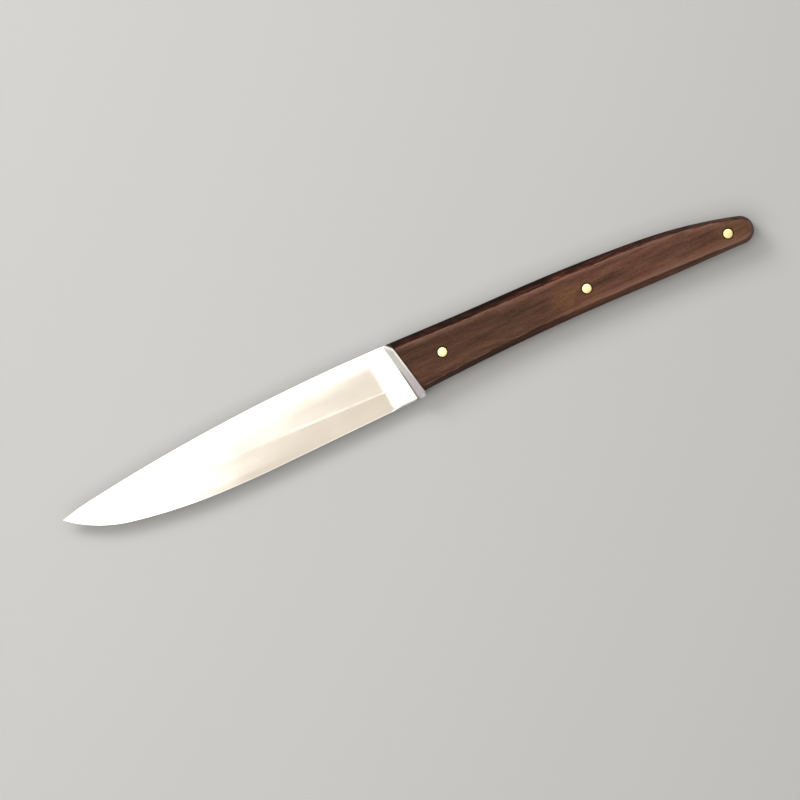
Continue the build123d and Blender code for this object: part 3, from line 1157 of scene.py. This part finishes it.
def pick_edges(piece, test):
    """Selects, in edit mode, the edges whose middle, in mm, and faces' normals pass a test."""
    bpy.ops.mesh.select_mode(type="EDGE")
    bpy.ops.mesh.select_all(action="DESELECT")
    mesh = bmesh.from_edit_mesh(piece.data)
    for edge in mesh.edges:
        middle = (edge.verts[0].co + edge.verts[1].co) / 2 / MM
        if test(middle, [face.normal for face in edge.link_faces]):
            edge.select_set(True)
    bmesh.update_edit_mesh(piece.data)


def is_band_corner(normals):
    """Whether an edge lies between the band and a spine facet."""
    on_band = any(normal.x < -BAND_LEAST_LEAN for normal in normals)
    on_facet = any(
        normal.y > FACET_LEAST_RISE and abs(normal.z) > UPRIGHT_LEAN for normal in normals
    )
    return on_band and on_facet


def is_easable(normals):
    """Whether an edge is sharp and is not where the shoulder's sides run on into the tang."""
    joint = Vector((math.cos(SHOULDER_LEAN), math.sin(SHOULDER_LEAN), 0))
    at_joint = max(normal.dot(joint) for normal in normals) > SAME_WAY
    upright = max(abs(normal.z) for normal in normals) < UPRIGHT_LEAN
    return normals[0].angle(normals[1]) > SHARP_ANGLE and not (at_joint and upright)


def make_tang():
    """The tang, from the frame's own blade: all that lies behind the shoulder."""
    tang = copy_of("blade", "tang")
    joint = Vector((math.cos(SHOULDER_LEAN), math.sin(SHOULDER_LEAN), 0))
    bpy.ops.object.mode_set(mode="EDIT")
    bpy.ops.mesh.select_all(action="SELECT")
    bpy.ops.mesh.bisect(
        plane_co=Vector((JOINT_X_MM, 0, 0)) * MM + joint * TANG_CUT_MM * MM,
        plane_no=joint,
        use_fill=True,
        clear_inner=True,
        threshold=CUT_GAP,
    )
    into_shoulder = joint * -TANG_OVERLAP_MM * MM
    bpy.ops.mesh.extrude_region_move(TRANSFORM_OT_translate={"value": into_shoulder})
    bpy.ops.mesh.select_all(action="SELECT")
    bpy.ops.mesh.normals_make_consistent(inside=False)
    bpy.ops.object.mode_set(mode="OBJECT")
    return tang


def join_solid(piece, other):
    """Makes two closed shapes one, and deletes the second."""
    union = piece.modifiers.new("union", "BOOLEAN")
    union.operation = "UNION"
    union.solver = "EXACT"
    union.object = other
    make_active(piece)
    bpy.ops.object.modifier_apply(modifier=union.name)
    bpy.data.objects.remove(other)


def merge_tiny(piece):
    """Merges points that the unions left all but on top of each other, in a settled order."""
    make_active(piece)
    bpy.ops.object.mode_set(mode="EDIT")
    bpy.ops.mesh.select_all(action="SELECT")
    mesh = bmesh.from_edit_mesh(piece.data)
    mesh.verts.sort(key=lambda vertex: order_of(vertex.co))
    mesh.edges.sort(key=lambda edge: order_of(edge.verts[0].co + edge.verts[1].co))
    mesh.faces.sort(key=lambda face: order_of(face.calc_center_median()))
    bmesh.update_edit_mesh(piece.data)
    bpy.ops.mesh.remove_doubles(threshold=CUT_GAP)
    bpy.ops.object.mode_set(mode="OBJECT")


def order_of(point):
    """A number that puts points in order along X, then Y, then Z."""
    return (point.x * ORDER_STEP + point.y) * ORDER_STEP + point.z


def weigh_normals(piece):
    """Keeps the flat faces flat where they meet an eased edge."""
    modifier = piece.modifiers.new("flat faces", "WEIGHTED_NORMAL")
    modifier.keep_sharp = True
    make_active(piece)
    bpy.ops.object.modifier_apply(modifier=modifier.name)


# Pieces

def make_blade(material):
    """Blade, shoulder and tang in one, with the corners eased."""
    piece = make_blade_body()
    piece.name = "steel_blade"
    piece.data.name = piece.name
    join_solid(piece, make_shoulder_block())
    join_solid(piece, make_tang())
    merge_tiny(piece)
    dress(piece, material)
    smooth(piece)
    weigh_normals(piece)
    stand_for(piece, "blade")


def make_scales(material):
    """The two wooden scales, from merged copies of the frame's own."""
    for side in ("upper", "lower"):
        piece = copy_of(side + "_scale", side + "_wood_scale")
        dress(piece, material)
        smooth(piece)
        weigh_normals(piece)
        stand_for(piece, side + "_scale")


def make_pins(material):
    """Pins filed flush, each with an eased rim and a very shallow dome at both ends."""
    for node in PIN_NODES:
        low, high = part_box(node)
        radius = (high.x - low.x) / 2
        depth = high.z - low.z - 2 * PIN_DOME_RISE
        centre = (low + high) / 2
        bpy.ops.mesh.primitive_cylinder_add(
            vertices=PIN_SIDES, radius=radius, depth=depth, location=centre
        )
        piece = bpy.context.object
        piece.name = node.replace("_pin", "_brass_pin")
        piece.data.name = piece.name
        make_active(piece)
        bpy.ops.object.transform_apply(location=True, rotation=True, scale=True)
        bpy.ops.object.mode_set(mode="EDIT")
        for up in (1, -1):
            pick_end(piece, up)
            bpy.ops.mesh.bevel(offset=PIN_EDGE_BREAK, segments=PIN_EDGE_STEPS, affect="EDGES")
            dome_end(piece, up, radius - PIN_EDGE_BREAK)
        bpy.ops.object.mode_set(mode="OBJECT")
        dress(piece, material)
        smooth(piece)
        stand_for(piece, node)


def pick_end(piece, up):
    """Selects the flat end of a pin."""
    bpy.ops.mesh.select_mode(type="FACE")
    bpy.ops.mesh.select_all(action="DESELECT")
    mesh = bmesh.from_edit_mesh(piece.data)
    reach = max(up * vertex.co.z for vertex in mesh.verts)
    for face in mesh.faces:
        at_end = abs(face.calc_center_median().z * up - reach) < CUT_GAP
        if at_end and face.normal.z * up > PIN_END_LEAN:
            face.select_set(True)
    bmesh.update_edit_mesh(piece.data)


def dome_end(piece, up, flat_radius):
    """Raises the flat end of a pin in rings to a very shallow dome."""
    width = flat_radius / (PIN_DOME_RINGS + PIN_CENTRE_RINGS)
    for ring in range(PIN_DOME_RINGS):
        pick_end(piece, up)
        bpy.ops.mesh.inset(thickness=width, depth=0)
        before = 1 - ring / PIN_DOME_RINGS
        after = 1 - (ring + 1) / PIN_DOME_RINGS
        rise = PIN_DOME_RISE * (before ** 2 - after ** 2)
        bpy.ops.transform.translate(value=(0, 0, up * rise))


def dress_glue(material):
    """The glue films keep the frame's own meshes."""
    for node in ("upper_bedding", "lower_bedding"):
        dress(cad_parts[node], material)


# Stage

def make_floor(material):
    bpy.ops.mesh.primitive_plane_add(size=FLOOR_SIZE, location=(0, 0, -FLOOR_DROP))
    floor = bpy.context.object
    floor.name = "floor"
    dress(floor, material)


def make_camera():
    """Straight above the knife, at the photograph's place, scale and roll."""
    across = (PHOTO_CENTRE - ZERO_ACROSS_PIXEL) * PIXEL_SIZE
    up = (ZERO_UP_PIXEL - PHOTO_CENTRE) * PIXEL_SIZE
    distance = PHOTO_PIXELS * PIXEL_SIZE * LENS / SENSOR
    data = bpy.data.cameras.new("camera")
    data.lens = LENS
    data.sensor_width = SENSOR
    data.clip_end = CLIP_END
    camera = bpy.data.objects.new("camera", data)
    camera.location = (across, up, MIDDLE_Z + distance)
    camera.rotation_euler = (0, 0, -ROLL)
    bpy.context.scene.collection.objects.link(camera)
    bpy.context.scene.camera = camera


def make_light(name, place_at, size, brightness, rotation):
    """A soft rectangular panel, unseen by the camera. Brightness 1 shows as white in a mirror."""
    data = bpy.data.lights.new(name, "AREA")
    data.shape = "RECTANGLE"
    data.size, data.size_y = size
    data.energy = brightness * math.pi * size[0] * size[1]
    panel = bpy.data.objects.new(name, data)
    panel.location = place_at
    panel.rotation_euler = rotation
    panel.visible_camera = False
    bpy.context.scene.collection.objects.link(panel)
    return panel


def make_lights():
    """Three panels that the polished steel mirrors, and a key from the spine's side.

    The blade mirrors the near edge of the wide panel overhead, which parts its bright zones from
    its dim ones. The side and strip panels show where the steel leans towards the edge: in the
    point, the bevel and the plunge. The key only lights, and nothing mirrors it.
    """
    half = OVERHEAD_SIZE[1] / 2
    overhead_place = (
        OVERHEAD_EDGE[0] - math.sin(OVERHEAD_TURN) * half,
        OVERHEAD_EDGE[1] + math.cos(OVERHEAD_TURN) * half,
        OVERHEAD_HEIGHT,
    )
    turned = (0, 0, OVERHEAD_TURN)
    make_light("overhead_panel", overhead_place, OVERHEAD_SIZE, PANEL_BRIGHTNESS, turned)
    make_light("side_panel", SIDE_PLACE, SIDE_SIZE, PANEL_BRIGHTNESS, (0, 0, 0))
    make_light("strip_panel", STRIP_PLACE, STRIP_SIZE, PANEL_BRIGHTNESS, (0, 0, 0))
    aim = Vector(KEY_PLACE).to_track_quat("Z", "Y").to_euler()
    key = make_light("key_panel", KEY_PLACE, KEY_SIZE, KEY_BRIGHTNESS, aim)
    key.visible_glossy = False


def make_world():
    """A plain room: even light on the knife, and a pale background that metal mirrors too."""
    world = bpy.data.worlds.new("studio")
    bpy.context.scene.world = world
    world.use_nodes = True
    tree = world.node_tree
    background = tree.nodes["Background"]
    coords = add_node(tree, "ShaderNodeTexCoord")
    height = split_vector(tree, coords.outputs["Generated"])[2]
    room = ramp(tree, height, ROOM_RAMP)
    rays = add_node(tree, "ShaderNodeLightPath")
    seen = rays.outputs["Is Camera Ray"]
    for kind in ("Is Glossy Ray", "Is Transmission Ray"):
        seen = maths(tree, "MAXIMUM", seen, rays.outputs[kind])
    shown = blend(tree, seen, (ROOM_LIGHT, ROOM_LIGHT, ROOM_LIGHT, 1), room)
    feed(tree, background.inputs["Color"], shown)
    background.inputs["Strength"].default_value = 1.0


steel = steel_material()
wood = wood_material()
brass = brass_material()
glue = glue_material()

make_camera()
make_blade(steel)
make_scales(wood)
make_pins(brass)
dress_glue(glue)
make_floor(floor_material())
make_world()
make_lights()
bpy.context.scene.view_settings.view_transform = "Standard"
